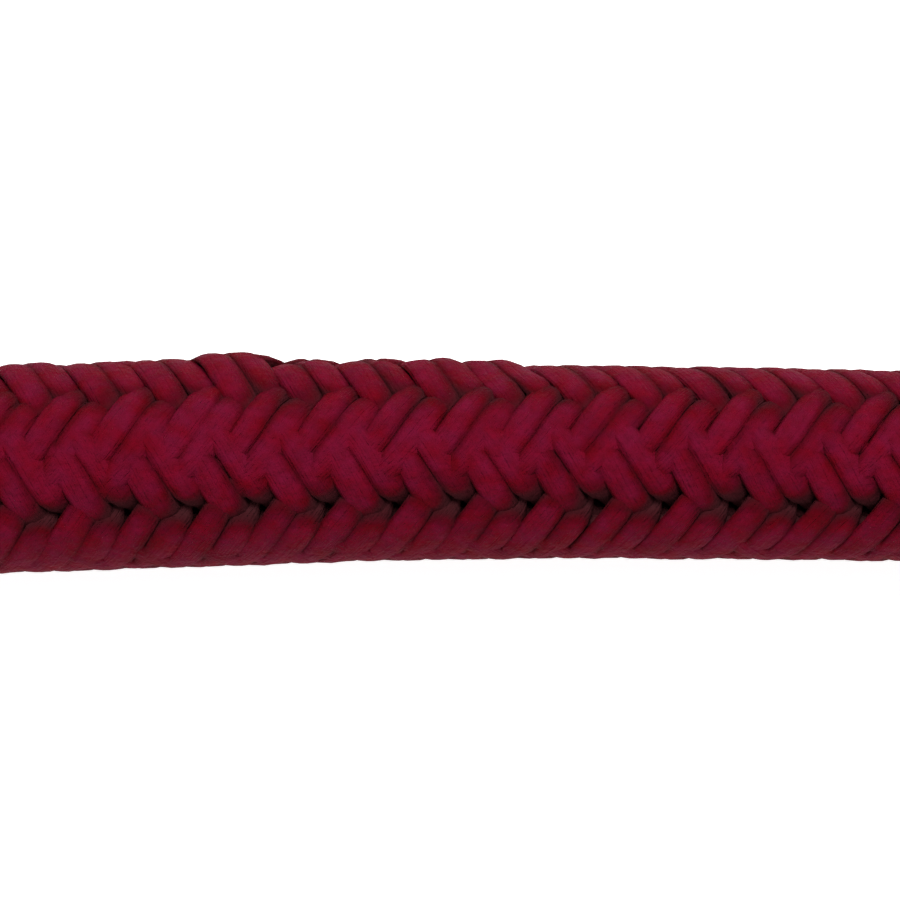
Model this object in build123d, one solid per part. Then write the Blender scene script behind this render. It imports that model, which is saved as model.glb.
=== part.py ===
from build123d import *
import math
import os

os.makedirs("parts", exist_ok=True)

# ---------------------------------------------------------------------------
# Double-braid nylon dock line, stowed as a flat oval hank.
# Millimetres, +Z up. The layout below is centred on the hank. finish() moves
# every piece so that the origin is the middle of the underside of the whole.
# ---------------------------------------------------------------------------

# Rope
ROPE_D = 12.7  # half-inch line
ROPE_R = ROPE_D / 2
CORE_R = 0.60 * ROPE_R  # radius of the braided core inside the cover
LINE_LENGTH = 4572.0  # 15 ft, from the bitter end to the crown of the eye

# Hank: oval turns side by side in flat layers
COLUMNS = 3
LAYERS = 2
INNER_TURN_R = 3 * ROPE_D  # centreline bend radius of the innermost turn
OUTER_TURN_R = INNER_TURN_R + (COLUMNS - 1) * ROPE_D
STRAIGHT = 191.2  # straight run of every turn, along X
HANK_CORNER_R = 6.3  # rounding of the hank's section, just under the rope's radius

# Cinch strap round the hank
WEB_T = 1.0  # webbing thickness
WEB_W = 25.0  # webbing width, along X
STRAP_GAP = 0.3  # sliding clearance between the strap and the rope
STRAP_X = -81.0  # middle of the strap
LAYER_GAP = 0.05  # between touching layers of the strap
LOOP_T = 0.8  # loop-side fastening tape
HOOK_T = 0.9  # hook-side fastening tape
TAPE_W = 23.0

# Cinch ring: a flat rectangular plastic loop on top of the strap
RING_Y = 22.0
RING_T = 2.5
RING_BAR = 3.5
RING_OPENING_X = 26.0
RING_OPENING_Y = 5.2
RING_EDGE_R = 1.2  # the bars are rounded so that the webbing turns round them

# Heights
HANK_Z = WEB_T + STRAP_GAP  # underside of the hank, held up by the strap below it
LOW_Z = HANK_Z + ROPE_R  # centreline of the bottom layer
TOP_Z = LOW_Z + (LAYERS - 1) * ROPE_D
FLOOR_Z = ROPE_R  # centreline of rope lying on the floor

# Whippings and the fused tip
WHIP_BITE = 0.5  # how deep the twine pulls into the cover
WHIP_PROUD = 0.4  # how far it stands out of the cover
END_WHIP_L = 13.0
END_TIP_L = 4.0
THROAT_WHIP_L = 16.0
SPLICE_L = 42.0  # thickened stretch where the tail is buried, below the eye
LEG_Y = 6.4  # half the spacing of the eye's two legs at its throat

HANK_HALF_L = STRAIGHT / 2 + OUTER_TURN_R + ROPE_R
HANK_HALF_W = OUTER_TURN_R + ROPE_R

# Routes of the uncoiled rope. The first two begin at the ends of straight runs of the hank.
LEAD_ROUTE = [
    (STRAIGHT / 2, -OUTER_TURN_R, LOW_Z),
    (122.0, -63.9, 7.2),
    (166.0, -64.8, FLOOR_Z),
    (190.0, -63.95, FLOOR_Z),
    (214.0, -63.4, FLOOR_Z),
    (240.0, -63.6, 6.6),
    (266.0, -64.2, 6.95),
]
STANDING_ROUTE = [
    (STRAIGHT / 2, OUTER_TURN_R, TOP_Z),
    (117.0, 62.9, 20.0),
    (143.0, 57.0, 15.4),
    (165.0, 46.0, 9.9),
    (186.5, 36.0, 6.8),
    (204.0, 33.1, FLOOR_Z),
]
# The eye, in its own plane: +X from the throat towards the crown
THROAT = (262.0, 26.0)
EYE_TURN = -7.0  # degrees from the hank's long axis
EYE_ROUTE = [
    (-THROAT_WHIP_L, LEG_Y),
    (7.0, LEG_Y),
    (38.0, 10.0),
    (71.0, 18.5),
    (105.0, 30.5),
    (141.0, 42.0),
    (161.0, 39.5),
    (177.5, 28.0),
    (186.5, 10.0),
    (186.0, -10.0),
    (176.0, -27.5),
    (159.5, -39.0),
    (139.5, -41.0),
    (104.0, -29.0),
    (70.0, -16.5),
    (37.0, -9.0),
    (7.0, -LEG_Y),
    (-THROAT_WHIP_L, -LEG_Y),
]


def corner_radii(points):
    """The largest even arcs that the runs on each side of every corner allow."""
    spots = [Vector(*p) for p in points]
    radii = []
    for before, here, after in zip(spots, spots[1:], spots[2:]):
        run_in = here - before
        run_out = after - here
        half_turn = math.radians(run_in.get_angle(run_out)) / 2
        shorter = min(run_in.length, run_out.length)
        radii.append(0.45 * shorter / math.tan(half_turn))
    return radii


def route_wire(name, points):
    """Straight runs joined by tangent arcs; prints the radii and the length."""
    radii = corner_radii(points)
    wire = FilletPolyline(*points, radius=radii)
    rounded = ", ".join(f"{r / ROPE_D:.1f}" for r in radii)
    print(f"{name}: length {wire.length:.1f} mm, corner radii in rope diameters: {rounded}")
    return wire


def tube(wire, outer_r, inner_r=0.0):
    """A solid or hollow tube along a route."""
    section = Circle(outer_r)
    if inner_r:
        section -= Circle(inner_r)
    start = Plane(origin=wire @ 0, z_dir=wire % 0)
    return sweep(start * section, path=wire)


def hank():
    """Outer shape of all the oval turns together, open in the middle."""
    outer = SlotOverall(2 * HANK_HALF_L, 2 * HANK_HALF_W)
    hole_half_w = INNER_TURN_R - ROPE_R
    hole = SlotOverall(STRAIGHT + 2 * hole_half_w, 2 * hole_half_w)
    slab = extrude(outer - hole, LAYERS * ROPE_D)
    slab = fillet(slab.edges().filter_by(Plane.XY), HANK_CORNER_R)
    return Pos(0, 0, HANK_Z) * slab


def end_pieces(lead):
    """Twine whipping near the bitter end, and the fused tip that seals it."""
    end_plane = Plane(origin=lead @ 1, z_dir=lead % 1)
    ring = Circle(ROPE_R + WHIP_PROUD) - Circle(ROPE_R - WHIP_BITE)
    whipping = end_plane * Pos(0, 0, -END_WHIP_L - 2) * extrude(ring, END_WHIP_L)
    tip = Cylinder(ROPE_R - 0.2, END_TIP_L, align=(Align.CENTER, Align.CENTER, Align.MIN))
    tip = fillet(tip.edges().sort_by(Axis.Z)[-1], 2.2)
    return whipping, end_plane * tip


def eye_plane(along):
    """Across the eye's long axis, at a distance from its throat; local X is the eye's width."""
    turn = math.radians(EYE_TURN)
    forward = Vector(math.cos(turn), math.sin(turn), 0)
    sideways = Vector(-math.sin(turn), math.cos(turn), 0)
    origin = Vector(*THROAT, FLOOR_Z) + forward * along
    return Plane(origin=origin, x_dir=sideways, z_dir=forward)


def eye_route():
    """The eye's points, placed in the layout."""
    placed = []
    for along, aside in EYE_ROUTE:
        plane = eye_plane(along)
        spot = plane.origin + plane.x_dir * aside
        placed.append((spot.X, spot.Y, spot.Z))
    return placed


def splice():
    """Swelling below the eye: round at the standing part, oval where the legs part."""
    start = -THROAT_WHIP_L - SPLICE_L
    sections = [
        eye_plane(start) * Ellipse(ROPE_R, ROPE_R),
        eye_plane(start + 0.45 * SPLICE_L) * Ellipse(1.22 * ROPE_R, ROPE_R),
        eye_plane(start + SPLICE_L) * Ellipse(1.9 * ROPE_R, ROPE_R),
    ]
    return loft([section.face() for section in sections])


def throat_whipping():
    """Twine bound round both legs of the eye."""
    outer = SlotOverall(2 * (LEG_Y + ROPE_R + WHIP_PROUD), ROPE_D)
    inner = SlotOverall(2 * (LEG_Y + ROPE_R - WHIP_BITE), ROPE_D - 2 * WHIP_BITE)
    return extrude(eye_plane(-THROAT_WHIP_L) * (outer - inner), THROAT_WHIP_L)


def strap_pieces():
    """Cinch strap, seen along X: one webbing strip, its tapes, ring and stitching."""
    side_y = HANK_HALF_W + STRAP_GAP + WEB_T / 2
    low_z = WEB_T / 2
    band_z = HANK_Z + LAYERS * ROPE_D + STRAP_GAP + WEB_T / 2
    band_top = band_z + WEB_T / 2
    ring_z = band_top + 2 * LAYER_GAP
    over_z = ring_z + RING_T + 2 * LAYER_GAP + WEB_T / 2
    tab_z = band_top + LAYER_GAP + WEB_T / 2
    hook_z = band_top + LOOP_T
    tail_z = hook_z + HOOK_T + WEB_T / 2
    turn_a = RING_Y + RING_OPENING_Y / 2 - LAYER_GAP - WEB_T / 2
    turn_b = 2 * RING_Y - turn_a
    turn_r = (over_z - band_z) / 2 - 0.01
    corner_r = HANK_CORNER_R + STRAP_GAP + WEB_T / 2
    tail_end = -38.0
    tab_end = 48.0

    strip_points = [
        (tab_end, tab_z),
        (35.5, tab_z),
        (31.0, over_z),
        (turn_a, over_z),
        (turn_a, band_z),
        (side_y, band_z),
        (side_y, low_z),
        (-side_y, low_z),
        (-side_y, band_z),
        (turn_b, band_z),
        (turn_b, over_z),
        (12.5, over_z),
        (8.5, tail_z),
        (tail_end, tail_z),
    ]
    bends = [1.2, 1.2, turn_r, turn_r] + 4 * [corner_r] + [turn_r, turn_r, 1.2, 1.2]
    strip = FilletPolyline(*strip_points, radius=bends)
    across = Plane(origin=(STRAP_X - WEB_W / 2, 0, 0), x_dir=(0, 1, 0), z_dir=(1, 0, 0))
    webbing = extrude(across * trace(strip, WEB_T), WEB_W)

    def layer(y_from, y_to, z_from, thickness, width=TAPE_W):
        slab = Box(width, y_to - y_from, thickness, align=(Align.CENTER, Align.MIN, Align.MIN))
        return Pos(STRAP_X, y_from, z_from) * slab

    loop_tape = layer(-60.0, 9.0, band_top, LOOP_T)
    hook_tape = layer(-36.0, 4.5, hook_z, HOOK_T)

    ring_x = RING_OPENING_X + 2 * RING_BAR
    ring_y = RING_OPENING_Y + 2 * RING_BAR
    ring = extrude(
        RectangleRounded(ring_x, ring_y, 3.0)
        - RectangleRounded(RING_OPENING_X, RING_OPENING_Y, 0.5),
        RING_T,
    )
    ring = fillet(ring.edges().filter_by(Plane.XY), RING_EDGE_R)
    ring = Pos(STRAP_X, RING_Y, ring_z) * ring

    stitch = Box(2.0, 0.8, 0.35, align=(Align.CENTER, Align.CENTER, Align.MIN))
    stitch_pitch = 3.0
    stitches = []
    for row_y, row_z in [(40.0, tab_z), (45.0, tab_z), (-34.0, tail_z), (2.5, tail_z)]:
        for k in range(-3, 4):
            spot = Pos(STRAP_X + k * stitch_pitch, row_y, row_z + WEB_T / 2)
            stitches.append(spot * stitch)
    return {
        "strap_webbing": webbing,
        "strap_loop_tape": loop_tape,
        "strap_hook_tape": hook_tape,
        "cinch_ring": ring,
        "strap_stitches": Compound(children=stitches),
    }


def finish(pieces):
    """Moves the origin to the bottom centre of the whole, and writes every piece."""
    whole = Compound(children=[p.moved(Location()) for p in pieces.values()]).bounding_box()
    centre = whole.center()
    shift = Pos(-centre.X, -centre.Y, -whole.min.Z)
    print(f"shift of the layout: {-centre.X:.2f}, {-centre.Y:.2f}, {-whole.min.Z:.2f}")
    print(f"whole: {whole.size.X:.1f} x {whole.size.Y:.1f} x {whole.size.Z:.1f} mm")
    for name, piece in pieces.items():
        export_step(shift * piece, f"parts/{name}.step")


lead = route_wire("lead", LEAD_ROUTE)
standing = route_wire("standing part", STANDING_ROUTE)
eye = route_wire("eye", eye_route())
end_whipping, end_tip = end_pieces(lead)

parts = {
    "hank": hank(),
    "lead_cover": tube(lead, ROPE_R, CORE_R),
    "lead_core": tube(lead, CORE_R),
    "end_whipping": end_whipping,
    "end_tip": end_tip,
    "standing_cover": tube(standing, ROPE_R, CORE_R),
    "standing_core": tube(standing, CORE_R),
    "splice_throat": splice(),
    "throat_whipping": throat_whipping(),
    "eye_cover": tube(eye, ROPE_R, CORE_R),
    "eye_core": tube(eye, CORE_R),
    **strap_pieces(),
}

cover_area = math.pi * (ROPE_R**2 - CORE_R**2)
for name, wire in [("lead", lead), ("standing", standing), ("eye", eye)]:
    ratio = parts[f"{name}_cover"].volume / (cover_area * wire.length)
    print(f"{name} cover: volume over section times length = {ratio:.4f}")

turn_lengths = [
    2 * STRAIGHT + 2 * math.pi * (INNER_TURN_R + k * ROPE_D) for k in range(COLUMNS)
]
hank_length = LAYERS * sum(turn_lengths) - math.pi * OUTER_TURN_R  # the last turn lacks one bend
to_crown = END_TIP_L + lead.length + hank_length + standing.length + SPLICE_L + eye.length / 2
print(f"rope in the hank {hank_length:.0f} mm, whole line {to_crown:.0f} of {LINE_LENGTH:.0f} mm")

finish(parts)
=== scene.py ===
import math

import bpy
import numpy as np
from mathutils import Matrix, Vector


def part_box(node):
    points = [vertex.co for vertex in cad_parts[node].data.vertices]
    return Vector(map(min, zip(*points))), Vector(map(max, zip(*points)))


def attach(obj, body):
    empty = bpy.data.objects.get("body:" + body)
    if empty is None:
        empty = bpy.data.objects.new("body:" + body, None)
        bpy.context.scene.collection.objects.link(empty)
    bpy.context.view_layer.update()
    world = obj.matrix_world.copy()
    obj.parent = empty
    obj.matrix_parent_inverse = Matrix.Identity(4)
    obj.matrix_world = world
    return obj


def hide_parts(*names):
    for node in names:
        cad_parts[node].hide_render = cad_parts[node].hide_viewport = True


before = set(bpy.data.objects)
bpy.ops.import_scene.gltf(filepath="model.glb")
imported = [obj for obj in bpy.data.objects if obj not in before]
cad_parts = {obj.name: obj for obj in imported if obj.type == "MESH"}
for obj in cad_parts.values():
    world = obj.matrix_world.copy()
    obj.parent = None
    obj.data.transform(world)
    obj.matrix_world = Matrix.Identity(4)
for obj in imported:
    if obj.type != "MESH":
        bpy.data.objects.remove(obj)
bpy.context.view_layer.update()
rng = np.random.default_rng(11)

# ---------------------------------------------------------------------------
# Dimensions, in metres. The layout is centred on the hank, as in the CAD.
# ---------------------------------------------------------------------------
# the rope
ROPE_D = 0.0127
ROPE_R = ROPE_D / 2
CORE_R = 0.56 * ROPE_R  # the braided core inside the cover

# the hank: two layers of three oval turns, lying on the strap
COLUMNS = 3
INNER_TURN_R = 3 * ROPE_D
OUTER_TURN_R = INNER_TURN_R + (COLUMNS - 1) * ROPE_D
WEB_T = 0.001  # thickness of the strap's webbing
STRAP_GAP = 0.0003  # between the strap and the rope
HANK_Z = WEB_T + STRAP_GAP
LOW_Z = HANK_Z + ROPE_R  # middle of the rope in the bottom layer
TOP_Z = LOW_Z + ROPE_D  # and in the top layer
FLOOR_Z = ROPE_R  # and where it lies on the floor

# the cinch strap
STRAP_X = -0.081
STRAP_W = 0.025
TAPE_W = 0.023
LOOP_T = 0.0008
HOOK_T = 0.0009
RING_Y = 0.022
RING_T = 0.0025
RING_OPENING_Y = 0.0052
TAB_GAP = 0.00005  # hairline between layers that lie on each other
BAND_TOP = HANK_Z + 2 * ROPE_D + STRAP_GAP + WEB_T  # top of the strap's single layer over the hank

FLOOR_GLOW = 0.70  # the floor is a white light table, so shadows on it stay faint

hank_low, hank_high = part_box("hank")
ORIGIN = Vector((
    (hank_low.x + hank_high.x) / 2,
    (hank_low.y + hank_high.y) / 2,
    hank_low.z - HANK_Z,
))
HALF_STRAIGHT = (hank_high.x - hank_low.x) / 2 - OUTER_TURN_R - ROPE_R

# The stretch of the lead that the camera looks at
VIEW_W = 0.0586  # width of what the camera sees
VIEW_CENTRE = ORIGIN + Vector((0.2153, -0.06272, ROPE_R))


# ---------------------------------------------------------------------------
# Camera
# ---------------------------------------------------------------------------
def make_camera():
    """Straight above the visible stretch, with a long lens, the rope running across the picture."""
    data = bpy.data.cameras.new("camera")
    data.lens = 150.0
    data.sensor_width = 36.0
    data.clip_start = 0.01
    data.clip_end = 20.0
    camera = bpy.data.objects.new("camera", data)
    distance = VIEW_W * data.lens / data.sensor_width
    camera.location = VIEW_CENTRE + Vector((0, 0, distance))
    bpy.context.scene.collection.objects.link(camera)
    bpy.context.scene.camera = camera


make_camera()


# ---------------------------------------------------------------------------
# The rope's route: one smooth spline from the bitter end to the buried tail
# ---------------------------------------------------------------------------
LEAD_ROUTE = [  # from the bitter end to the hank
    (0.266, -0.0642, 0.00695),
    (0.240, -0.0636, 0.0066),
    (0.214, -0.0634, FLOOR_Z),
    (0.190, -0.06395, FLOOR_Z),
    (0.166, -0.0648, FLOOR_Z),
    (0.122, -0.0639, 0.0072),
]
STANDING_ROUTE = [  # from the hank down to the splice
    (0.117, 0.0629, 0.0200),
    (0.143, 0.0570, 0.0154),
    (0.165, 0.0460, 0.0099),
    (0.1865, 0.0360, 0.0068),
    (0.204, 0.0331, FLOOR_Z),
]
THROAT = Vector((0.262, 0.026, FLOOR_Z))
EYE_TURN = math.radians(-7.0)
THROAT_WHIP_L = 0.016
SPLICE_L = 0.042  # from the whipping back to where the buried tail ends
LEG_Y = 0.0064  # how far each leg of the eye lies from the throat's middle
EYE_ROUTE = [  # distances along and aside from the throat
    (-0.030, 0.0),
    (-0.014, 0.0012),
    (-0.005, 0.0058),
    (0.007, LEG_Y),
    (0.038, 0.0100),
    (0.071, 0.0185),
    (0.105, 0.0305),
    (0.141, 0.0420),
    (0.161, 0.0395),
    (0.1775, 0.0280),
    (0.1865, 0.0100),
    (0.186, -0.0100),
    (0.176, -0.0275),
    (0.1595, -0.0390),
    (0.1395, -0.0410),
    (0.104, -0.0290),
    (0.070, -0.0165),
    (0.037, -0.0090),
    (0.007, -LEG_Y),
    (-0.006, -0.0058),
    (-0.016, -0.0030),
    (-0.034, -0.0010),
]
EYE_FORWARD = Vector((math.cos(EYE_TURN), math.sin(EYE_TURN), 0))
EYE_SIDEWAYS = Vector((-math.sin(EYE_TURN), math.cos(EYE_TURN), 0))


def smooth_step(t):
    t = min(max(t, 0.0), 1.0)
    return t * t * (3 - 2 * t)


def hank_points():
    """Control points of the turns: bottom layer inwards, up, then top layer outwards.

    Every change of column or layer happens on the right-hand bend, one after the other,
    so that no two turns share a place.
    """
    step_count = 12  # control points on each half-circle bend
    step = math.pi / step_count
    bulge = 1 / (0.75 + 0.25 * math.cos(step))  # a spline runs inside its control points
    straight = np.linspace(HALF_STRAIGHT, -HALF_STRAIGHT, 5)
    cells = [(0, c) for c in range(COLUMNS - 1, -1, -1)] + [(1, c) for c in range(COLUMNS)]
    points = []
    for number, (layer, column) in enumerate(cells):
        radius = INNER_TURN_R + column * ROPE_D
        height = TOP_Z if layer else LOW_Z
        for x in straight:
            points.append((x, -radius, height))
        for k in range(1, step_count):
            angle = -math.pi / 2 - k * step
            points.append((
                -HALF_STRAIGHT + bulge * radius * math.cos(angle),
                bulge * radius * math.sin(angle),
                height,
            ))
        for x in straight[::-1]:
            points.append((x, radius, height))
        if number == len(cells) - 1:
            break
        next_layer, next_column = cells[number + 1]
        for k in range(1, step_count):
            t = k / step_count
            sideways = smooth_step(2 * t) if layer else smooth_step(2 * t - 1)
            rise = smooth_step(2 * t - 0.5) * (next_layer - layer)
            here = bulge * (radius + (next_column - column) * ROPE_D * sideways)
            angle = math.pi / 2 - k * step
            points.append((
                HALF_STRAIGHT + here * math.cos(angle),
                here * math.sin(angle),
                height + rise * ROPE_D,
            ))
    return points


def eye_points():
    """The eye's points, placed in the layout."""
    return [tuple(THROAT + EYE_FORWARD * a + EYE_SIDEWAYS * s) for a, s in EYE_ROUTE]


def route_spline():
    """The whole line as one NURBS curve. It isn't shown: the strands are laid along it."""
    points = LEAD_ROUTE + hank_points() + STANDING_ROUTE + eye_points()
    curve = bpy.data.curves.new("rope_route", "CURVE")
    curve.dimensions = "3D"
    curve.resolution_u = 24
    spline = curve.splines.new("NURBS")
    spline.points.add(len(points) - 1)
    for place, point in zip(spline.points, points):
        place.co = (*(ORIGIN + Vector(point)), 1)
    spline.order_u = 3
    spline.use_endpoint_u = True
    route = bpy.data.objects.new("rope_route", curve)
    bpy.context.scene.collection.objects.link(route)
    bpy.context.view_layer.update()
    mesh = bpy.data.meshes.new_from_object(route)
    line = np.array([v.co for v in mesh.vertices])
    bpy.data.meshes.remove(mesh)
    bpy.data.objects.remove(route)
    return line


def unit(vectors):
    return vectors / np.linalg.norm(vectors, axis=1, keepdims=True)


def run_length(points):
    """Distance of each point from the first one, along the line."""
    steps = np.linalg.norm(np.diff(points, axis=0), axis=1)
    return np.concatenate([[0], np.cumsum(steps)])


def interpolate(at, places, values):
    """Rows of values, read between the places where they are known."""
    return np.stack([np.interp(at, places, column) for column in values.T], 1)


class Centreline:
    """Points, directions and untwisted side vectors along the rope, by distance from the bitter end."""

    def __init__(self, line, spacing=0.0005, smooth_over=7):
        moved = np.linalg.norm(np.diff(line, axis=0), axis=1) > 1e-7
        line = line[np.concatenate([[True], moved])]
        along = run_length(line)
        self.length = along[-1]
        self.at = np.linspace(0, self.length, int(self.length / spacing) + 1)
        self.points = interpolate(self.at, along, line)
        tangents = np.gradient(self.points, axis=0)
        # a short moving average takes the sampling's tiny corners out
        kernel = np.ones(smooth_over) / smooth_over
        reach = smooth_over // 2
        padded = np.pad(tangents, ((reach, reach), (0, 0)), mode="edge")
        tangents = np.stack([np.convolve(column, kernel, "valid") for column in padded.T], 1)
        self.tangents = unit(tangents)
        self.ups = self.untwisted()
        self.sides = np.cross(self.tangents, self.ups)

    def untwisted(self):
        """Side vectors that turn no more than the line makes them, starting straight up."""
        ups = np.zeros_like(self.points)
        t = self.tangents
        up = np.array([0.0, 0.0, 1.0])
        up -= t[0] * up.dot(t[0])
        ups[0] = up / np.linalg.norm(up)
        for k in range(1, len(t)):
            up = ups[k - 1] - t[k] * ups[k - 1].dot(t[k])
            ups[k] = up / np.linalg.norm(up)
        return ups

    def sample(self, at):
        """Point, direction, up and side at each distance."""
        points = interpolate(at, self.at, self.points)
        tangents = unit(interpolate(at, self.at, self.tangents))
        ups = unit(interpolate(at, self.at, self.ups))
        sides = unit(interpolate(at, self.at, self.sides))
        return points, tangents, ups, sides

    def nearest(self, place):
        """The distance along the rope at which it comes nearest to a place."""
        gap = np.linalg.norm(self.points - np.array(place), axis=1)
        return float(self.at[np.argmin(gap)])


rope = Centreline(route_spline())

# Distances along the rope of the middle of the visible stretch, and of the eye's throat.
# The visible stretch is in the first 200 mm; the rope passes the same X again later.
beyond_lead = rope.at > 0.2
view_at = float(rope.at[np.argmin(np.abs(rope.points[:, 0] - VIEW_CENTRE.x) + beyond_lead)])
throat_out = rope.nearest(ORIGIN + THROAT + EYE_SIDEWAYS * LEG_Y)
throat_back = rope.nearest(ORIGIN + THROAT - EYE_SIDEWAYS * LEG_Y)


# ---------------------------------------------------------------------------
# Mesh helpers
# ---------------------------------------------------------------------------
def tube_mesh(name, tubes):
    """One mesh of closed tubes.

    Each tube is (rings, along, tone). rings is (count, points round, 3). along is the distance
    along the tube of every ring. tone is one number per vertex, kept as the "crown" attribute:
    how high the vertex stands in the braid, from 0 in the hollows to 1 on the crowns. The nylon material
    paints shade by it.
    """
    vertices, faces, uvs, tones = [], [], [], []
    caps, cap_uv = [], []
    offset = 0
    for rings, along, tone in tubes:
        count, around = rings.shape[:2]
        vertices.append(rings.reshape(-1, 3))
        tones.append(tone.reshape(-1))
        ring = np.arange(count - 1)[:, None] * around
        here = np.arange(around)[None, :]
        after = (here + 1) % around
        a = offset + ring + here
        b = offset + ring + after
        quads = np.stack([a, b, b + around, a + around], -1).reshape(-1, 4)
        faces.append(quads)
        v = here + np.zeros_like(ring)
        u_low = along[:-1, None] + np.zeros(v.shape)
        u_high = along[1:, None] + np.zeros(v.shape)
        low = np.stack([u_low, v / around], -1)
        low_next = np.stack([u_low, (v + 1) / around], -1)
        high_next = np.stack([u_high, (v + 1) / around], -1)
        high = np.stack([u_high, v / around], -1)
        uvs.append(np.stack([low, low_next, high_next, high], 2).reshape(-1, 2))
        last = offset + (count - 1) * around
        caps.append(np.arange(offset, offset + around)[::-1])
        caps.append(np.arange(last, last + around))
        cap_uv += [(along[0], 0.5)] * around + [(along[-1], 0.5)] * around
        offset += count * around
    vertices = np.concatenate(vertices)
    quads = np.concatenate(faces)
    uv = np.concatenate(uvs)
    mesh = bpy.data.meshes.new(name)
    mesh.vertices.add(len(vertices))
    mesh.vertices.foreach_set("co", vertices.astype(np.float32).ravel())
    loops = np.concatenate([quads.ravel(), np.concatenate(caps)])
    sizes = np.concatenate([np.full(len(quads), 4), [len(c) for c in caps]])
    starts = np.concatenate([[0], np.cumsum(sizes)[:-1]])
    mesh.loops.add(len(loops))
    mesh.loops.foreach_set("vertex_index", loops.astype(np.int32))
    mesh.polygons.add(len(sizes))
    mesh.polygons.foreach_set("loop_start", starts.astype(np.int32))
    mesh.polygons.foreach_set("use_smooth", np.ones(len(sizes), bool))
    mesh.update(calc_edges=True)
    layer = mesh.uv_layers.new(name="yarn")
    layer.data.foreach_set("uv", np.concatenate([uv, cap_uv]).astype(np.float32).ravel())
    crown = mesh.attributes.new("crown", "FLOAT", "POINT")
    crown.data.foreach_set("value", np.concatenate(tones).astype(np.float32))
    mesh.validate()
    return mesh


def ring_angles(around):
    return np.arange(around) * 2 * math.pi / around


def spokes(theta, ups, sides):
    """Unit vectors out from each point of a line, at each angle round it."""
    return (
        np.cos(theta)[None, :, None] * ups[:, None, :]
        + np.sin(theta)[None, :, None] * sides[:, None, :]
    )


def add_piece(name, mesh, material, body):
    """An object of the part: placed, painted, and riding on its body."""
    piece = bpy.data.objects.new(name, mesh)
    bpy.context.scene.collection.objects.link(piece)
    mesh.materials.append(material)
    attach(piece, body)
    return piece


# ---------------------------------------------------------------------------
# Materials
# ---------------------------------------------------------------------------
class Shader:
    """A material under construction: makes nodes and links them."""

    def __init__(self, name, roughness=0.6, specular=0.4):
        self.material = bpy.data.materials.new(name)
        self.material.use_nodes = True
        self.nodes = self.material.node_tree.nodes
        self.links = self.material.node_tree.links
        self.surface = self.nodes["Principled BSDF"]
        self.surface.inputs["Roughness"].default_value = roughness
        self.surface.inputs["Specular IOR Level"].default_value = specular

    def node(self, kind, inputs=None, **settings):
        """A node, with each input either linked to a socket or set to a value."""
        made = self.nodes.new(kind)
        for key, value in settings.items():
            setattr(made, key, value)
        for key, value in (inputs or {}).items():
            if isinstance(value, bpy.types.NodeSocket):
                self.links.new(value, made.inputs[key])
            else:
                made.inputs[key].default_value = value
        return made

    def math(self, operation, a, b=0.0, c=0.0, clamp=False):
        inputs = {0: a, 1: b, 2: c}
        return self.node("ShaderNodeMath", inputs, operation=operation, use_clamp=clamp).outputs[0]

    def noise(self, scale, detail=3.0, vector=None, roughness=0.55):
        if vector is None:
            vector = self.node("ShaderNodeTexCoord").outputs["Object"]
        inputs = {"Vector": vector, "Scale": scale, "Detail": detail, "Roughness": roughness}
        return self.node("ShaderNodeTexNoise", inputs).outputs[0]

    def mix(self, share, a, b):
        return self.node("ShaderNodeMix", {0: share, 6: a, 7: b}, data_type="RGBA").outputs[2]

    def ramp(self, value, stops):
        made = self.node("ShaderNodeValToRGB", {"Fac": value})
        elements = made.color_ramp.elements
        while len(elements) < len(stops):
            elements.new(0.5)
        for element, (position, colour) in zip(elements, stops):
            element.position = position
            element.color = colour
        return made.outputs[0]

    def bump(self, height, distance, strength=1.0, normal=None):
        inputs = {"Height": height, "Distance": distance, "Strength": strength}
        if normal is not None:
            inputs["Normal"] = normal
        return self.node("ShaderNodeBump", inputs).outputs[0]

    def yarn_map(self):
        """Metres along the tube or strip, and the share of the way round it."""
        uv = self.node("ShaderNodeUVMap", uv_map="yarn").outputs[0]
        parts = self.node("ShaderNodeSeparateXYZ", {0: uv})
        return parts.outputs[0], parts.outputs[1]

    def finish(self, colour, normal=None):
        self.links.new(colour, self.surface.inputs["Base Color"])
        if normal is not None:
            self.links.new(normal, self.surface.inputs["Normal"])
        return self.material


def rgb(r, g, b):
    return (r, g, b, 1.0)


def yarn_fibres(s):
    """Fine streaks along the yarn, slowly winding round it."""
    along, around = s.yarn_map()
    winding = s.math("ADD", s.math("MULTIPLY", around, 26.0), s.math("MULTIPLY", along, 900.0))
    stretched = s.math("MULTIPLY", along, 260.0)
    place = s.node("ShaderNodeCombineXYZ", {0: stretched, 1: winding}).outputs[0]
    return s.noise(1.0, 2.0, place)


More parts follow.
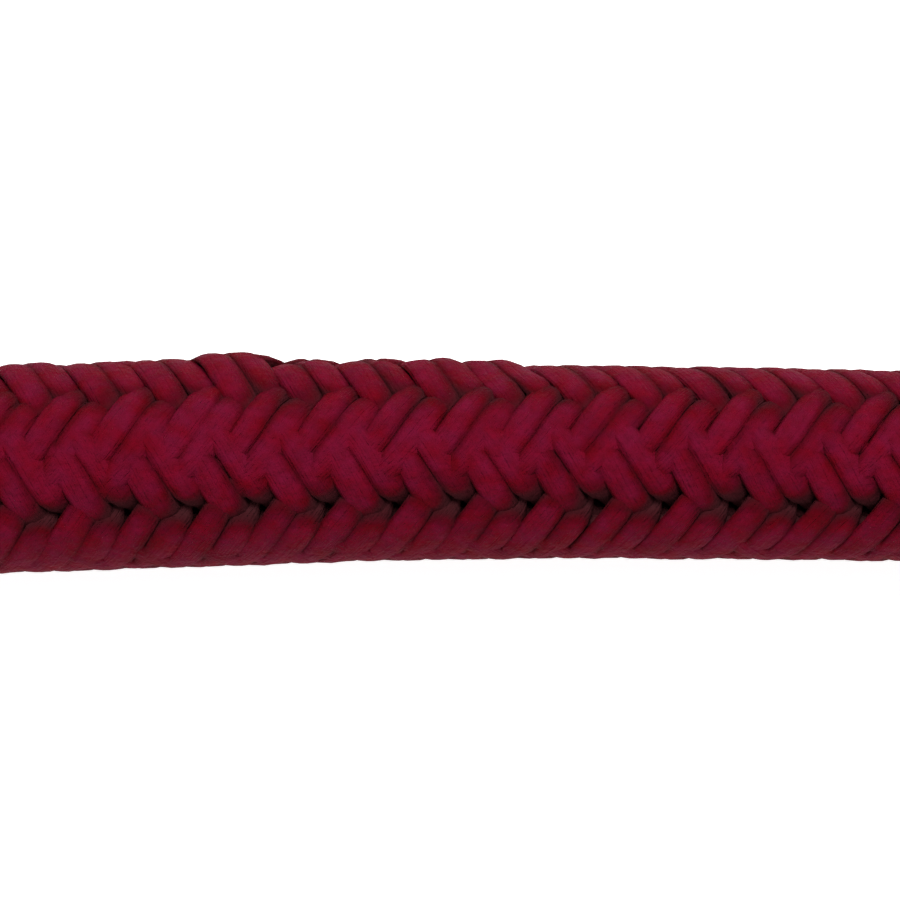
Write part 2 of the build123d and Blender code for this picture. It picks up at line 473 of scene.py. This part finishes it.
def rope_material():
    """Burgundy nylon yarn in red and purple patches, with fine lengthwise fibres and painted shade by
    height in the braid: lighter crimson crowns, darker redder flanks, brown hollows.
    """
    s = Shader("burgundy_nylon", roughness=0.75, specular=0.03)
    s.surface.inputs["Specular Tint"].default_value = rgb(1.0, 0.12, 0.22)
    # painted shade: the yarn's height in the braid picks its colour below, darker towards the hollows and
    # lighter on the crowns
    crown = s.node("ShaderNodeAttribute", attribute_name="crown").outputs["Fac"]
    blotch = s.math("MULTIPLY", s.math("SUBTRACT", s.noise(330.0), 0.5), 0.24)
    shade_height_and_blotch = s.math("ADD", crown, blotch)
    # painted shade: dark brown colours for the hollows between the yarns
    painted_hollow_shade = [
        (0.60, rgb(0.0450, 0.0130, 0.0150)),
        (0.77, rgb(0.0400, 0.0066, 0.0090)),
    ]
    red = s.ramp(shade_height_and_blotch, painted_hollow_shade + [
        (0.88, rgb(0.0760, 0.0012, 0.0038)),
        (0.94, rgb(0.1080, 0.0012, 0.0054)),
        (1.00, rgb(0.1340, 0.0020, 0.0105)),
    ])
    purple = s.ramp(shade_height_and_blotch, painted_hollow_shade + [
        (0.88, rgb(0.0680, 0.0022, 0.0085)),
        (0.94, rgb(0.0960, 0.0026, 0.0140)),
        (1.00, rgb(0.1280, 0.0042, 0.0220)),
    ])
    patches = s.math("MULTIPLY_ADD", s.noise(720.0, 2.0), 2.8, -0.9, clamp=True)
    colour = s.mix(patches, red, purple)
    grain = s.math("MULTIPLY_ADD", s.noise(1500.0, roughness=0.7), 2.4, -0.75, clamp=True)
    speckled = s.mix(0.45, colour, rgb(0.030, 0.0030, 0.0040))
    colour = s.mix(s.math("MULTIPLY", grain, 0.75), colour, speckled)
    fibre = yarn_fibres(s)
    streaked = s.mix(0.5, colour, rgb(0.05, 0.002, 0.006))
    colour = s.mix(s.math("MULTIPLY", fibre, 0.35), colour, streaked)
    streaks = s.bump(fibre, 0.00018, 0.9)
    fine = s.math("ADD", s.noise(2600.0), grain)
    return s.finish(colour, s.bump(fine, 0.00013, 0.7, streaks))


def twine_material():
    """Waxed black twine, its two plies twisted together."""
    s = Shader("waxed_twine", roughness=0.5)
    along, around = s.yarn_map()
    twist = s.math("ADD", s.math("MULTIPLY", along, 900.0), s.math("MULTIPLY", around, 2.0))
    ply = s.math("PINGPONG", twist, 0.5)
    raised = s.math("MULTIPLY", ply, 1.6, clamp=True)
    colour = s.mix(raised, rgb(0.006, 0.006, 0.007), rgb(0.030, 0.030, 0.033))
    grain = s.noise(5000.0, 2.0)
    return s.finish(colour, s.bump(grain, 0.00003, 0.6, s.bump(ply, 0.00016, 1.0)))


def webbing_material():
    """Black polyester webbing: tight diagonal weave, a little paler on its raised ribs."""
    s = Shader("black_webbing", roughness=0.7, specular=0.3)
    place = s.node("ShaderNodeTexCoord").outputs["Object"]
    across = s.node("ShaderNodeSeparateXYZ", {0: place}).outputs[0]
    along, _ = s.yarn_map()
    slant = s.math("ADD", s.math("MULTIPLY", across, 1100.0), s.math("MULTIPLY", along, 1400.0))
    twill = s.math("PINGPONG", slant, 0.5)
    raised = s.math("MULTIPLY", twill, 1.8, clamp=True)
    colour = s.mix(raised, rgb(0.008, 0.008, 0.009), rgb(0.024, 0.024, 0.027))
    fine = s.noise(4200.0)
    colour = s.mix(s.math("MULTIPLY", fine, 0.35), colour, rgb(0.040, 0.040, 0.044))
    return s.finish(colour, s.bump(fine, 0.00006, 0.6, s.bump(twill, 0.00014, 0.9)))


def plain_material(name, colour, roughness=0.6, grain=900.0, depth=0.0001, specular=0.4):
    """One colour, a little uneven, with a fine grain."""
    s = Shader(name, roughness, specular)
    noise = s.noise(grain, 4.0)
    dark = rgb(*(0.7 * c for c in colour))
    return s.finish(s.mix(noise, dark, rgb(*colour)), s.bump(noise, depth, 0.6))


# ---------------------------------------------------------------------------
# The braid: sixteen strands of two yarns, eight each way, two over and two under
# ---------------------------------------------------------------------------
# A way of 1 or -1 is the sense in which a strand turns round the rope
CARRIERS_EACH_WAY = 8
SPACING = 2 * math.pi / CARRIERS_EACH_WAY
LAY = 2.72 * ROPE_D  # length of one full turn of a strand
MEAN_R = 0.402 * ROPE_D  # radius that the strands weave about
WEAVE = 0.066 * ROPE_D  # how far they go out and in from it
SHARPNESS = 1.6  # how quickly they go from over to under
STEEPER = {1: 0.78, -1: 0.50}  # how much faster the two ways of strand turn where they are on top
PHASE_ROUND = math.radians(2.0)  # turns the pattern round the rope
PHASE_ALONG = 0.00026  # moves it along the rope

# At every other row boundary the strands dive sooner, and at the rest later
DIP = 0.32

# In the visible stretch the cover is worked looser
LOOSE_REACH = 0.050  # how far that goes each way from its middle
LOOSE_DIP = 1.20
DIP_SHARE = {1: 0.60, -1: 0.42}  # how much of it each way of strand takes on top of the rope
DIP_ASIDE = {1: 0.45, -1: 0.10}  # how much more on the rope's -Y side, and less on its +Y side
SHIFTED_EDGE = math.radians(-45)  # the boundary on the -Y side is pushed round towards the top
SHIFT = math.radians(9.5)
SHIFT_FOCUS = 4.0
GAPING_EDGE = math.radians(-37)  # there one way of strand goes under early, the other comes up early
GAPE = {1: -0.55, -1: 0.45}
GAPE_FOCUS = 12.0

# A yarn's section, finer on its outer side than underneath, in angles from its side
YARN_SECTION = np.radians([0, 30, 60, 90, 120, 150, 180, 235, 305])
YARN_THICK = 0.054 * ROPE_D  # half the thickness of a yarn
YARN_WIDTH = 0.275  # half its width, as a share of the space that a strand has
YARN_ASIDE = 0.25  # how far the two yarns lie from the strand's middle, as a share of that space
FLAT_FROM = 0.478 * ROPE_D  # beyond this radius the yarns are pressed flat
FLAT_SHARE = 0.36  # what is left of their height there

# Unevenness of the yarns: spread, and the distance over which it changes
LIFT_SPREAD, LIFT_SPACING = 0.006, 0.0045
DRIFT_SPREAD, DRIFT_SPACING = 0.006, 0.006
FULL_SPREAD, FULL_SPACING = 0.05, 0.005

# Places along the rope from the middle of the visible stretch, height and reach of each lump
LUMPS = [
    (0.0274, 0.00030, 0.0014),
    (0.0205, 0.00040, 0.0060),
    (0.0140, 0.00070, 0.0024),
    (0.0107, -0.00045, 0.0008),
    (0.0094, 0.00042, 0.0011),
    (0.0073, -0.00050, 0.0008),
    (0.0050, 0.00046, 0.0012),
    (0.0029, -0.00046, 0.0007),
    (0.0012, 0.00046, 0.0010),
    (-0.0003, -0.00044, 0.0006),
    (-0.0020, 0.00040, 0.0010),
    (-0.0038, -0.00030, 0.0007),
]
LUMP_ANGLE = math.radians(84)
LUMP_SPREAD = 0.42  # radians round the rope

COARSE_RING = LAY / 22  # between the rings that a yarn's mesh is made of
FINE_RING = LAY / 80
FINE_REACH = 0.034  # half the length of the finely cut stretch

END_WHIP_FROM = 0.002
END_WHIP_L = 0.013


def ring_places(length):
    """Distances of the rings: close together where the camera looks, wider elsewhere."""
    before = np.arange(0, view_at - FINE_REACH, COARSE_RING)
    close = np.arange(view_at - FINE_REACH, view_at + FINE_REACH, FINE_RING)
    after = np.arange(view_at + FINE_REACH, length, COARSE_RING)
    return np.unique(np.concatenate([before, close, after, [length]]))


def thickness(at):
    """Local thickness against the nominal one: thinner under the whippings and in the buried tail."""
    from_view = at - view_at
    stretch = np.interp(
        from_view,
        [-0.045, -0.029, -0.004, 0.006, 0.016, 0.029, 0.05],
        [1.0, 0.995, 1.012, 1.028, 1.058, 1.06, 1.0],
    )
    whip_to = END_WHIP_FROM + END_WHIP_L
    end = np.interp(
        at,
        [0, END_WHIP_FROM, END_WHIP_FROM + 0.001, whip_to - 0.001, whip_to + 0.003],
        [-0.05, -0.07, -0.09, -0.09, 0.0],
    )
    out = at - throat_out
    back = at - throat_back
    bound = -0.105  # under the throat whipping
    legs = np.interp(out, [-0.019, -0.016, -0.001, 0.002], [0.0, bound, bound, 0.0])
    legs = legs + np.interp(back, [-0.002, 0.001, 0.010], [0.0, bound, bound])
    taper = np.interp(back, [0.004, 0.012, 0.03], [0.0, -0.4, -0.5])
    return stretch + end + legs + taper


def oval(at):
    """How much wider than high the rope is: the splice swells over the buried tail."""
    swell_to = -THROAT_WHIP_L
    swell_from = swell_to - SPLICE_L
    return np.interp(
        at - throat_out,
        [swell_from, swell_from + 0.45 * SPLICE_L, swell_to, -0.001],
        [1.0, 1.20, 1.85, 1.0],
    )


def swelled(rings, points, at):
    """The rings, drawn apart sideways where the rope is oval."""
    sideways = np.array(EYE_SIDEWAYS)
    aside = np.sum((rings - points[:, None, :]) * sideways, axis=2)
    return rings + (aside * (oval(at) - 1)[:, None])[:, :, None] * sideways


def lump(at, angle):
    """Strands that stand a little proud, or sunk, along the upper edge of the visible stretch."""
    height = np.zeros_like(at)
    off_round = (angle - LUMP_ANGLE + math.pi) % (2 * math.pi) - math.pi
    for where, proud, reach in LUMPS:
        off_along = at - view_at - where
        height += proud * np.exp(-(off_along / reach) ** 2 - (off_round / LUMP_SPREAD) ** 2)
    return height


def smooth_noise(places, spacing):
    """Seeded unevenness that changes over a given distance."""
    knots = np.arange(places[0], places[-1] + 2 * spacing, spacing)
    return np.interp(places, knots, rng.normal(0, 1, len(knots)).clip(-2, 2))


def near_edge(angle, edge, focus):
    """1 at an angle round the rope, fading out on both sides of it."""
    return np.exp(focus * (np.cos(angle - edge) - 1))


def weave_path(index, way, places):
    """A strand's angle round the rope, and how high it weaves, from -1 (under) to 1 (over)."""
    turn = way * 2 * math.pi * (places - view_at + PHASE_ALONG) / LAY
    even = (index + 0.25) * SPACING + turn
    phase = CARRIERS_EACH_WAY / 2 * even
    loose = np.exp(-((places - view_at) / LOOSE_REACH) ** 4)
    angle = PHASE_ROUND + even + way * STEEPER[way] / 4 * np.cos(phase)
    angle += loose * SHIFT * near_edge(angle, SHIFTED_EDGE, SHIFT_FOCUS)
    loose_dip = LOOSE_DIP * (DIP_SHARE[way] - DIP_ASIDE[way] * np.sin(angle))
    dip = np.cos(phase) * (DIP + loose * (loose_dip - DIP))
    gape = GAPE[way] * loose * near_edge(angle, GAPING_EDGE, GAPE_FOCUS)
    on_top = -way * np.sin(phase)
    weave = np.tanh(SHARPNESS * (on_top + dip + gape)) / math.tanh(SHARPNESS)
    return angle, weave


def strand(index, way, places):
    """Two yarns side by side, woven along the whole rope."""
    points, tangents, ups, sides = rope.sample(places)
    angle, weave = weave_path(index, way, places)
    size = thickness(places)
    proud = lump(places, angle)
    outward = np.cos(angle)[:, None] * ups + np.sin(angle)[:, None] * sides
    radius = (MEAN_R + WEAVE * weave + proud) * size
    centre = points + radius[:, None] * outward
    heading = unit(np.gradient(centre, places, axis=0))
    across = unit(np.cross(heading, outward))
    above = np.cross(across, heading)
    slant = np.sqrt(1 - np.clip(np.sum(heading * tangents, 1), -1, 1) ** 2)
    space = LAY / CARRIERS_EACH_WAY * slant * size  # between neighbouring strands
    tubes = []
    for yarn in (-1, 1):
        lift = smooth_noise(places, LIFT_SPACING) * LIFT_SPREAD * ROPE_D
        drift = smooth_noise(places, DRIFT_SPACING) * DRIFT_SPREAD * ROPE_D
        fuller = 1 + FULL_SPREAD * smooth_noise(places, FULL_SPACING)
        aside = yarn * YARN_ASIDE * space + drift
        middle = centre + across * aside[:, None] + outward * lift[:, None]
        half_width = YARN_WIDTH * space * fuller * (0.90 + 0.10 * weave)
        half_thick = YARN_THICK * size * fuller
        rings = (
            middle[:, None, :]
            + across[:, None, :] * (half_width[:, None] * np.cos(YARN_SECTION))[:, :, None]
            + above[:, None, :] * (half_thick[:, None] * np.sin(YARN_SECTION))[:, :, None]
        )
        rings, crown = pressed_flat(rings, points, size, proud)
        tubes.append((swelled(rings, points, places), places, crown))
    return tubes


def pressed_flat(rings, points, size, proud):
    """The rings with their crowns pressed flat, and how high each vertex stands, from 0 to 1."""
    spoke = rings - points[:, None, :]
    length = np.linalg.norm(spoke, axis=2)
    reach = length - proud[:, None]
    over = np.maximum(reach - FLAT_FROM * size[:, None], 0)
    flat = points[:, None, :] + spoke * ((length - over * (1 - FLAT_SHARE)) / length)[:, :, None]
    lowest = MEAN_R - WEAVE - YARN_THICK
    highest = MEAN_R + WEAVE + YARN_THICK
    crown = np.clip((reach / size[:, None] - lowest) / (highest - lowest), 0, 1)
    return flat, crown


def round_tube(places, radius):
    """Rings of a plain round tube along the rope's line."""
    points, _, ups, sides = rope.sample(places)
    rings = points[:, None, :] + radius[:, None, None] * spokes(ring_angles(12), ups, sides)
    return swelled(rings, points, places), places, np.ones(rings.shape[:2])


def build_rope():
    nylon = rope_material()
    places = ring_places(rope.length)
    strands = []
    for way, letter in ((1, "s"), (-1, "z")):
        for index in range(CARRIERS_EACH_WAY):
            mesh = tube_mesh(f"cover_strand_{letter}{index + 1}", strand(index, way, places))
            strands.append(add_piece(mesh.name, mesh, nylon, "line"))
    inset = 0.0005  # the core stops short of the cover's ends
    core_places = np.linspace(inset, rope.length - inset, int(rope.length / (LAY / 12)))
    core_mesh = tube_mesh("braided_core", [round_tube(core_places, CORE_R * thickness(core_places))])
    core_paint = plain_material("core_nylon", (0.070, 0.016, 0.019), 0.9)
    core = add_piece("braided_core", core_mesh, core_paint, "line")
    return strands, core


# ---------------------------------------------------------------------------
# Whippings and the fused tip
# ---------------------------------------------------------------------------
TWINE_R = 0.00048
TWINE_PROUD = 0.0004  # how far the twine stands out of the cover
TUCK = 0.0012  # how deep both ends of the twine go under the turns
UP = np.array([0.0, 0.0, 1.0])


def tube_along(points, radius, around=8, ups=UP):
    """Rings of a round tube along any line of points."""
    headings = unit(np.gradient(points, axis=0))
    ups = np.broadcast_to(ups, points.shape)
    sides = unit(np.cross(headings, ups))
    ups = np.cross(sides, headings)
    radius = np.broadcast_to(radius, len(points))
    rings = points[:, None, :] + radius[:, None, None] * spokes(ring_angles(around), ups, sides)
    return rings, run_length(points), np.ones(rings.shape[:2])


def tucked(share):
    """How far in from the outermost layer the twine lies: only at its two ends."""
    return np.interp(share, [0, 0.02, 0.98, 1], [-TUCK, 0, 0, -TUCK])


def end_whipping():
    """Twine laid turn by turn round the rope near its bitter end."""
    turns = int(END_WHIP_L / (2 * TWINE_R))
    points_a_turn = 28
    share = np.linspace(0, 1, turns * points_a_turn)
    places = END_WHIP_FROM + TWINE_R + share * (END_WHIP_L - 2 * TWINE_R)
    points, _, ups, sides = rope.sample(places)
    angle = share * turns * 2 * math.pi
    outward = np.cos(angle)[:, None] * ups + np.sin(angle)[:, None] * sides
    radius = ROPE_R + TWINE_PROUD - TWINE_R + tucked(share)
    return tube_along(points + radius[:, None] * outward, TWINE_R, ups=outward)


def throat_whipping():
    """Twine laid round both legs of the eye."""
    turns = int(THROAT_WHIP_L / (2 * TWINE_R))
    points_a_turn = 40
    share = np.linspace(0, 1, turns * points_a_turn)
    along = -THROAT_WHIP_L + TWINE_R + share * (THROAT_WHIP_L - 2 * TWINE_R)
    radius = ROPE_R - TWINE_R + tucked(share)
    half_round = math.pi * (ROPE_R - TWINE_R)
    # round the first leg, straight across the top, round the second leg, back underneath
    stops = np.cumsum([0, half_round, 2 * LEG_Y, half_round, 2 * LEG_Y])
    travelled = (share * turns % 1) * stops[-1]
    quarter = math.pi / 2
    angle = np.interp(travelled, stops, [-quarter, quarter, quarter, 3 * quarter, 3 * quarter])
    shift = np.interp(travelled, stops, [LEG_Y, LEG_Y, -LEG_Y, -LEG_Y, LEG_Y])
    proud = TWINE_PROUD * np.abs(np.cos(angle))
    sideways = np.array(EYE_SIDEWAYS)
    line = (
        np.array(ORIGIN + THROAT)
        + along[:, None] * np.array(EYE_FORWARD)
        + (shift + (radius + proud) * np.cos(angle))[:, None] * sideways
        + (radius * np.sin(angle))[:, None] * UP
    )
    outward = np.cos(angle)[:, None] * sideways + np.sin(angle)[:, None] * UP
    return tube_along(line, TWINE_R, ups=outward)


def fused_tip():
    """The melted end of the line: a low uneven dome."""
    inside = -0.0012  # it starts within the cover
    length = 0.004
    start, tangents, ups, sides = rope.sample(np.array([0.0]))
    out = np.linspace(inside, length, 22)
    radius = np.interp(
        out,
        [inside, 0, 0.0015, 0.0025, 0.0034, length],
        [0.0056, 0.0060, 0.00612, 0.0057, 0.0043, 0.0004],
    )
    theta = ring_angles(64)
    lobes = 0.98 + 0.012 * np.sin(5 * theta + 0.6) + 0.010 * np.sin(9 * theta + 2.1)
    points = start - out[:, None] * tangents
    reach = radius[:, None, None] * lobes[None, :, None]
    rings = points[:, None, :] + reach * spokes(theta, ups, sides)
    return rings, out, np.ones(rings.shape[:2])


def build_ends():
    twine = twine_material()
    melted = plain_material("melted_nylon", (0.050, 0.003, 0.007), 0.48, 500.0, 0.0002, specular=0.2)
    made = []
    for name, tube, paint, slot, node in (
        ("end_whipping_twine", end_whipping(), twine, "whipping_twine", "end_whipping"),
        ("throat_whipping_twine", throat_whipping(), twine, "whipping_twine", "throat_whipping"),
        ("fused_tip_cap", fused_tip(), melted, "fused_tip", "end_tip"),
    ):
        piece = add_piece(name, tube_mesh(name, [tube]), paint, "line")
        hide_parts(node)
        made.append(piece)
    return made


strands, core_piece = build_rope()
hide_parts("hank", "lead_cover", "standing_cover", "splice_throat", "eye_cover")
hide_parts("lead_core", "standing_core", "eye_core")
end_pieces = build_ends()


# ---------------------------------------------------------------------------
# Cinch strap
# ---------------------------------------------------------------------------
TAB_ROWS = (0.040, 0.045)  # Y of the stitched rows
TAIL_ROWS = (-0.034, 0.0025)


def web_corners():
    """The webbing's middle line across the hank: (y, z, bend radius) from sewn tab to free tail."""
    band_z = BAND_TOP - WEB_T / 2
    over_z = BAND_TOP + 2 * TAB_GAP + RING_T + 2 * TAB_GAP + WEB_T / 2
    tab_z = BAND_TOP + TAB_GAP + WEB_T / 2
    tail_z = BAND_TOP + LOOP_T + HOOK_T + WEB_T / 2
    turn_a = RING_Y + RING_OPENING_Y / 2 - TAB_GAP - WEB_T / 2
    turn_b = 2 * RING_Y - turn_a
    side_y = OUTER_TURN_R + ROPE_R + STRAP_GAP + WEB_T / 2
    turn_r = (over_z - band_z) / 2 - 0.00001  # a hair less than half, so that the two arcs fit
    corner_r = 0.0063 + STRAP_GAP + WEB_T / 2  # round the outer turns of the rope
    soft_r = 0.0012
    tab_end, tab_rise, tab_over = 0.048, 0.0355, 0.031
    tail_over, tail_fall, tail_end = 0.0125, 0.0085, -0.038
    return [
        (tab_end, tab_z, 0),
        (tab_rise, tab_z, soft_r),
        (tab_over, over_z, soft_r),
        (turn_a, over_z, turn_r),
        (turn_a, band_z, turn_r),
        (side_y, band_z, corner_r),
        (side_y, WEB_T / 2, corner_r),
        (-side_y, WEB_T / 2, corner_r),
        (-side_y, band_z, corner_r),
        (turn_b, band_z, turn_r),
        (turn_b, over_z, turn_r),
        (tail_over, over_z, soft_r),
        (tail_fall, tail_z, soft_r),
        (tail_end, tail_z, 0),
    ]


def rounded(corners, arc_steps=8):
    """The line through (y, z, radius) corners, each one rounded to its radius."""
    line = [np.array(corners[0][:2])]
    for before, (y, z, radius), after in zip(corners, corners[1:], corners[2:]):
        here = np.array([y, z])
        back = np.array(before[:2]) - here
        on = np.array(after[:2]) - here
        back /= np.linalg.norm(back)
        on /= np.linalg.norm(on)
        half = math.acos(np.clip(back.dot(on), -1, 1)) / 2
        centre = here + unit((back + on)[None])[0] * radius / math.sin(half)
        start = here + back * radius / math.tan(half) - centre
        end = here + on * radius / math.tan(half) - centre
        sweep = math.atan2(start[0] * end[1] - start[1] * end[0], start.dot(end))
        for k in range(arc_steps + 1):
            turn = sweep * k / arc_steps
            line.append(centre + np.array([
                start[0] * math.cos(turn) - start[1] * math.sin(turn),
                start[0] * math.sin(turn) + start[1] * math.cos(turn),
            ]))
    line.append(np.array(corners[-1][:2]))
    return np.array(line)


def even_line(line, spacing):
    """The same line with evenly spaced points, and how far along it each one is."""
    along = run_length(line)
    at = np.linspace(0, along[-1], int(along[-1] / spacing))
    return interpolate(at, along, line), at


def strap_place(x, y, z):
    """A point given from the middle of the strap, in the frame."""
    return np.array([ORIGIN.x + STRAP_X + x, ORIGIN.y + y, ORIGIN.z + z])


def webbing(line, at):
    """Woven webbing along a line in the YZ plane: ribs across it, rounded selvedges."""
    half = STRAP_W / 2
    selvedge = 0.0004
    rib = 0.00010  # how deep the weave is
    wale_pitch = 0.0022  # across the webbing and along it
    face = np.linspace(-half + selvedge, half - selvedge, 34)
    section = [(x, 1.0) for x in face] + [(half, 0.5), (half, -0.5)]
    section += [(x, -1.0) for x in face[::-1]] + [(-half, -0.5), (-half, 0.5)]
    x, side = np.array(section).T
    heading = unit(np.gradient(line, axis=0))
    normal = np.stack([-heading[:, 1], heading[:, 0]], 1)
    wale = np.cos(2 * math.pi * x / wale_pitch)
    on_face = np.abs(side) > 0.9
    rings = np.empty((len(line), len(x), 3))
    for k, (point, out) in enumerate(zip(line, normal)):
        wave = np.cos(2 * math.pi * at[k] / wale_pitch + math.pi * np.sign(wale))
        relief = rib * 0.5 * (1 + wave * np.abs(wale)) * on_face
        height = side * (WEB_T / 2 - rib + relief)
        rings[k] = strap_place(x, point[0] + out[0] * height, point[1] + out[1] * height).T
    return rings, at, np.ones(rings.shape[:2])


def strip(y_from, y_to, z, thick):
    """A flat strip of tape with rounded edges, running in Y."""
    line, at = even_line(np.array([(y_from, z), (y_to, z)]), 0.0006)
    half = TAPE_W / 2
    edge = half - 0.0003
    section = [
        (-edge, 1), (0, 1), (edge, 1), (half, 0.4), (half, -0.4),
        (edge, -1), (0, -1), (-edge, -1), (-half, -0.4), (-half, 0.4),
    ]
    rings = np.empty((len(line), len(section), 3))
    for k, (y, middle) in enumerate(line):
        for corner, (x, side) in enumerate(section):
            rings[k, corner] = strap_place(x, y, middle + side * thick / 2)
    return rings, at, np.ones(rings.shape[:2])


def loop_tape():
    """Loop tape: a thin woven backing covered with small loops."""
    y_from, y_to = -0.060, 0.009
    loop_reach = 0.00045
    thread_r = 0.00009
    jitter = 0.0003
    half = TAPE_W / 2
    tubes = [strip(y_from, y_to, BAND_TOP + LOOP_T * 0.25, LOOP_T * 0.5)]
    arc = np.linspace(0, math.pi, 7)
    for y in np.arange(y_from + 0.0008, y_to - 0.0008, 0.0011):
        for x in np.arange(-half + 0.0009, half - 0.0009, 0.0012):
            lean = rng.uniform(-0.6, 0.6)
            foot_x = x + rng.uniform(-jitter, jitter)
            foot_y = y + rng.uniform(-jitter, jitter)
            foot = strap_place(foot_x, foot_y, BAND_TOP + LOOP_T * 0.45)
            reach = np.array([math.cos(lean), math.sin(lean), 0]) * loop_reach
            loop = foot + np.cos(arc)[:, None] * reach
            loop[:, 2] += np.sin(arc) * LOOP_T * 0.42
            tubes.append(tube_along(loop, thread_r, around=4))
    return tubes


def hook_tape():
    return [strip(-0.036, 0.0045, BAND_TOP + LOOP_T + HOOK_T / 2, HOOK_T)]


def stitches():
    """Rows of short raised stitches across the tab and the tail."""
    tab_top = BAND_TOP + TAB_GAP + WEB_T
    tail_top = BAND_TOP + LOOP_T + HOOK_T + WEB_T
    pitch = 0.003
    reach = 0.0011
    slant = 0.00015
    share = np.linspace(-1, 1, 11)
    radius = 0.00026 * (1 - 0.5 * share**6)
    rise = 0.0002 * (1 - share**4) - 0.0001
    tubes = []
    for row_y, row_z in [(y, tab_top) for y in TAB_ROWS] + [(y, tail_top) for y in TAIL_ROWS]:
        for k in range(-3, 4):
            line = strap_place(k * pitch + share * reach, row_y + share * slant, row_z + rise).T
            tubes.append(tube_along(line, radius, around=10))
    return tubes


def build_strap():
    line, at = even_line(rounded(web_corners()), 0.00055)
    tape = plain_material("fastening_tape", (0.020, 0.020, 0.022), 0.85, 3000.0, 0.00008)
    thread = plain_material("sewing_thread", (0.075, 0.075, 0.08), 0.6, 6000.0, 0.00003)
    for name, tubes, paint, slot, node in (
        ("strap_webbing_woven", [webbing(line, at)], webbing_material(), "strap_webbing", "strap_webbing"),
        ("loop_tape_pile", loop_tape(), tape, "strap_tape", "strap_loop_tape"),
        ("hook_tape_strip", hook_tape(), tape, "strap_tape", "strap_hook_tape"),
        ("strap_thread_stitches", stitches(), thread, "strap_thread", "strap_stitches"),
    ):
        piece = add_piece(name, tube_mesh(name, tubes), paint, "strap")
        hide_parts(node)
    plastic = plain_material("moulded_plastic", (0.022, 0.022, 0.024), 0.42, 1800.0, 0.00003)
    for slot in bpy.data.objects["cinch_ring"].material_slots:
        slot.material = plastic


build_strap()


# ---------------------------------------------------------------------------
# Floor and light
# ---------------------------------------------------------------------------
def make_stage():
    just_below = (0, 0, -0.0004)
    bpy.ops.mesh.primitive_plane_add(size=8, location=just_below)
    floor = bpy.context.object
    floor.name = "floor"
    s = Shader("pale_floor", roughness=0.9, specular=0.1)
    s.surface.inputs["Emission Color"].default_value = rgb(1, 1, 1)
    s.surface.inputs["Emission Strength"].default_value = FLOOR_GLOW
    clouds = s.noise(3.0, 2.0)
    floor.data.materials.append(s.finish(s.mix(clouds, rgb(0.86, 0.86, 0.86), rgb(0.9, 0.9, 0.9))))


def area_light(name, place, size, power, target):
    data = bpy.data.lights.new(name, "AREA")
    data.shape = "DISK"
    data.size = size
    data.energy = power
    light = bpy.data.objects.new(name, data)
    light.location = place
    light.rotation_euler = (Vector(target) - Vector(place)).to_track_quat("-Z", "Y").to_euler()
    bpy.context.scene.collection.objects.link(light)


def make_world():
    """Soft light from all round: white at the horizon, grey overhead."""
    world = bpy.data.worlds.new("studio")
    world.use_nodes = True
    nodes = world.node_tree.nodes
    links = world.node_tree.links
    direction = nodes.new("ShaderNodeTexCoord").outputs["Generated"]
    height = nodes.new("ShaderNodeSeparateXYZ")
    links.new(direction, height.inputs[0])
    sky = nodes.new("ShaderNodeValToRGB")
    horizon, overhead = sky.color_ramp.elements
    horizon.position = 0.20
    horizon.color = rgb(1, 1, 1)
    overhead.position = 0.42
    overhead.color = rgb(0.36, 0.36, 0.36)
    links.new(height.outputs[2], sky.inputs[0])
    links.new(sky.outputs[0], nodes["Background"].inputs[0])
    bpy.context.scene.world = world


def make_light():
    area_light("key", place=(0.15, 0.85, 1.6), size=0.8, power=41.5, target=(0.05, 0, 0))
    area_light("fill", place=(-0.5, -1.4, 1.2), size=1.4, power=6.0, target=(0, 0, 0))
    make_world()
    bpy.context.scene.view_settings.view_transform = "Standard"
    bpy.context.scene.view_settings.look = "None"


make_stage()
make_light()
